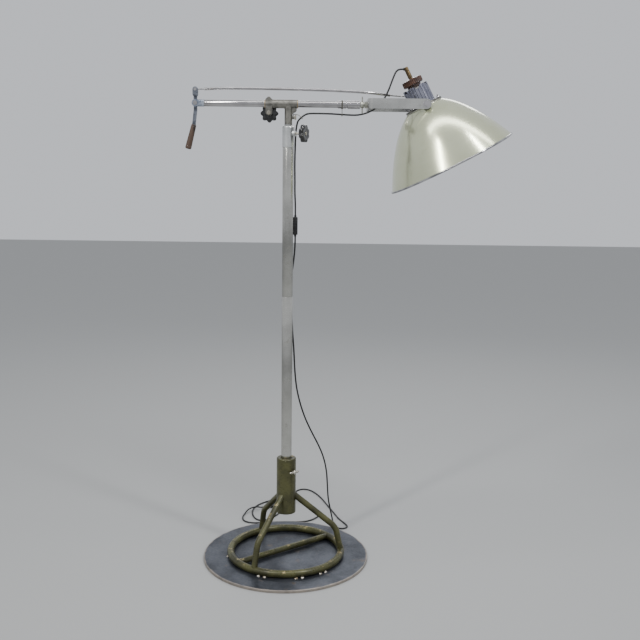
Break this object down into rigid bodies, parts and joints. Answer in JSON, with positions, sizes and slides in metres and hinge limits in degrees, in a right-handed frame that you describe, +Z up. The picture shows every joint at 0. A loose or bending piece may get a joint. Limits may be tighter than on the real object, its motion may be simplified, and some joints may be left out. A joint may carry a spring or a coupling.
{
  "type": "adjustable arm floor lamp",
  "caption": "Floor lamp with a weighted round base, telescopic mast, sliding arm and bowl shade tilted from afar by a lever and rod.",
  "frame": {"origin": "centre of the base plate's underside, on the floor", "axes": "+Z up the mast, +X along the arm towards the shade, +Y behind the lamp"},
  "size_m": [1.1096, 0.9851, 1.7525],
  "materials": {
    "plate_steel": "dark blue-grey raw steel plate, worn bright at the edge",
    "olive_paint": "worn olive-green paint over brassy steel",
    "weld_metal": "bright weld beads",
    "screw_steel": "worn plated steel",
    "mast_satin": "satin nickel plated tube",
    "collar_metal": "pale satin metal",
    "inner_steel": "turned steel",
    "liner_bronze": "bronze bush",
    "tee_nickel": "worn nickel over dark iron",
    "bakelite_black": "glossy black",
    "clip_wire": "dull wire",
    "chrome_bright": "polished chrome",
    "zinc_blue": "bluish zinc",
    "stud_steel": "plated steel",
    "lever_steel": "darkened steel",
    "grip_fibre": "brown turned grip",
    "yoke_nickel": "satin nickel strap",
    "bracket_dark": "dark bracket",
    "plate_alu": "spun aluminium",
    "shade_lacquer": "grey-green metallic lacquer outside",
    "rim_chrome": "chromed bead",
    "cast_alu": "ribbed casting",
    "bakelite_brown": "red-brown",
    "stem_brass": "dull olive brass",
    "gland_black": "black bush",
    "porcelain": "glazed pale insulator",
    "bulb_brass": "bulb cap",
    "bulb_clear": "frosted glass",
    "cord_black": "black sheath",
    "switch_plastic": "black moulding",
    "pin_brass": "plug pins"
  },
  "bodies": {
    "stand": {"base_plate": "plate_steel", "base_ring": "olive_paint", "ring_crossbar": "olive_paint", "leg_right": "olive_paint", "leg_back_left": "olive_paint", "leg_front_left": "olive_paint", "hub_socket": "olive_paint", "ring_weld_tacks": "weld_metal", "mast_lower_tube": "mast_satin", "mast_upper_tube": "mast_satin", "mast_joiner": "inner_steel", "mast_top_collar": "collar_metal", "cord_floor": "cord_black", "plug_body": "switch_plastic", "plug_pins": "pin_brass"},
    "hub_screw": {"hub_wing_screw": "screw_steel"},
    "mast_knob": {"mast_star_knob": "bakelite_black"},
    "post": {"inner_post": "inner_steel", "post_spigot": "inner_steel", "post_guide": "inner_steel", "cord_post": "cord_black", "switch_body": "switch_plastic"},
    "switch": {"switch_slider": "switch_plastic"},
    "tee": {"tee_clamp": "tee_nickel", "arm_clamp_bolt": "screw_steel", "tee_cable_clip": "clip_wire", "cord_arm_inner": "cord_black"},
    "tee_screw": {"tee_thumb_screw": "screw_steel"},
    "arm_knob": {"arm_star_knob": "bakelite_black"},
    "liner": {"arm_liner": "liner_bronze"},
    "arm": {"arm_tube": "chrome_bright", "arm_end_fork": "zinc_blue", "lever_pivot_bolt": "chrome_bright", "arm_ferrule_inner": "chrome_bright", "arm_ferrule_outer": "chrome_bright", "yoke_stud": "stud_steel", "arm_cable_clip": "clip_wire", "yoke": "yoke_nickel", "cord_arm_outer": "cord_black", "cord_head": "cord_black"},
    "tommy": {"tommy_nut": "stud_steel"},
    "lever": {"tilt_lever": "lever_steel", "lever_grip": "grip_fibre", "rod_pin": "chrome_bright"},
    "rod": {"tilt_rod": "chrome_bright", "rod_end_studs": "chrome_bright"},
    "head": {"pivot_bracket": "bracket_dark", "crank_pin": "chrome_bright", "collar_plate": "plate_alu", "shade_wing_nuts": "chrome_bright", "shade": "shade_lacquer", "shade_rim": "rim_chrome", "neck_casting": "cast_alu", "socket_cap": "bakelite_brown", "cap_stem": "stem_brass", "cord_gland": "gland_black", "lampholder": "porcelain", "bulb_cap": "bulb_brass", "bulb_glass": "bulb_clear", "yoke_pivot_bolts": "chrome_bright"}
  },
  "joints": [
    {"name": "post_height", "type": "slide", "parent": "stand", "child": "post", "axis": [0, 0, 1], "range_m": [0, 0.32], "deforming": ["cord_floor"]},
    {"name": "mast_knob_turn", "type": "hinge", "parent": "stand", "child": "mast_knob", "pos_m": [0, 0, 1.526], "axis": [0.9063, -0.4226, 0], "range_deg": [-180, 180]},
    {"name": "hub_screw_turn", "type": "hinge", "parent": "stand", "child": "hub_screw", "pos_m": [0, 0, 0.333], "axis": [0.6428, -0.766, 0], "range_deg": [-180, 180]},
    {"name": "tee_swivel", "type": "hinge", "parent": "post", "child": "tee", "pos_m": [0, 0, 1.58], "axis": [0, 0, 1], "range_deg": [-90, 90], "deforming": ["cord_post"]},
    {"name": "switch_slide", "type": "slide", "parent": "post", "child": "switch", "axis": [0, 0, 1], "range_m": [0, 0.005]},
    {"name": "tee_screw_turn", "type": "hinge", "parent": "tee", "child": "tee_screw", "pos_m": [0, 0, 1.58], "axis": [1, 0, 0], "range_deg": [-180, 180]},
    {"name": "arm_knob_turn", "type": "hinge", "parent": "tee", "child": "arm_knob", "pos_m": [-0.066, 0, 1.594], "axis": [0, 1, 0], "range_deg": [-180, 180]},
    {"name": "arm_roll", "type": "hinge", "parent": "tee", "child": "liner", "pos_m": [0, 0, 1.624], "axis": [1, 0, 0], "range_deg": [-45, 45], "deforming": ["cord_arm_inner"]},
    {"name": "arm_reach", "type": "slide", "parent": "liner", "child": "arm", "axis": [1, 0, 0], "range_m": [-0.06, 0.08], "deforming": ["cord_arm_outer"]},
    {"name": "tommy_turn", "type": "hinge", "parent": "arm", "child": "tommy", "pos_m": [0.25, 0, 1.624], "axis": [1, 0, 0], "range_deg": [-180, 180]},
    {"name": "lever_tilt", "type": "hinge", "parent": "arm", "child": "lever", "pos_m": [-0.315, 0, 1.624], "axis": [0, 1, 0], "range_deg": [-25, 25]},
    {"name": "rod_swing", "type": "hinge", "parent": "lever", "child": "rod", "pos_m": [-0.315, 0, 1.669], "axis": [0, 1, 0], "range_deg": [-26, 26]},
    {"name": "head_tilt", "type": "hinge", "parent": "arm", "child": "head", "pos_m": [0.458, 0, 1.624], "axis": [0, 1, 0], "range_deg": [-34, 34], "deforming": ["cord_head"]}
  ],
  "couplings": [
    {"joint": "rod_swing", "follows": "lever_tilt", "ratio": -1},
    {"joint": "head_tilt", "follows": "lever_tilt", "ratio": 1.3333}
  ]
}
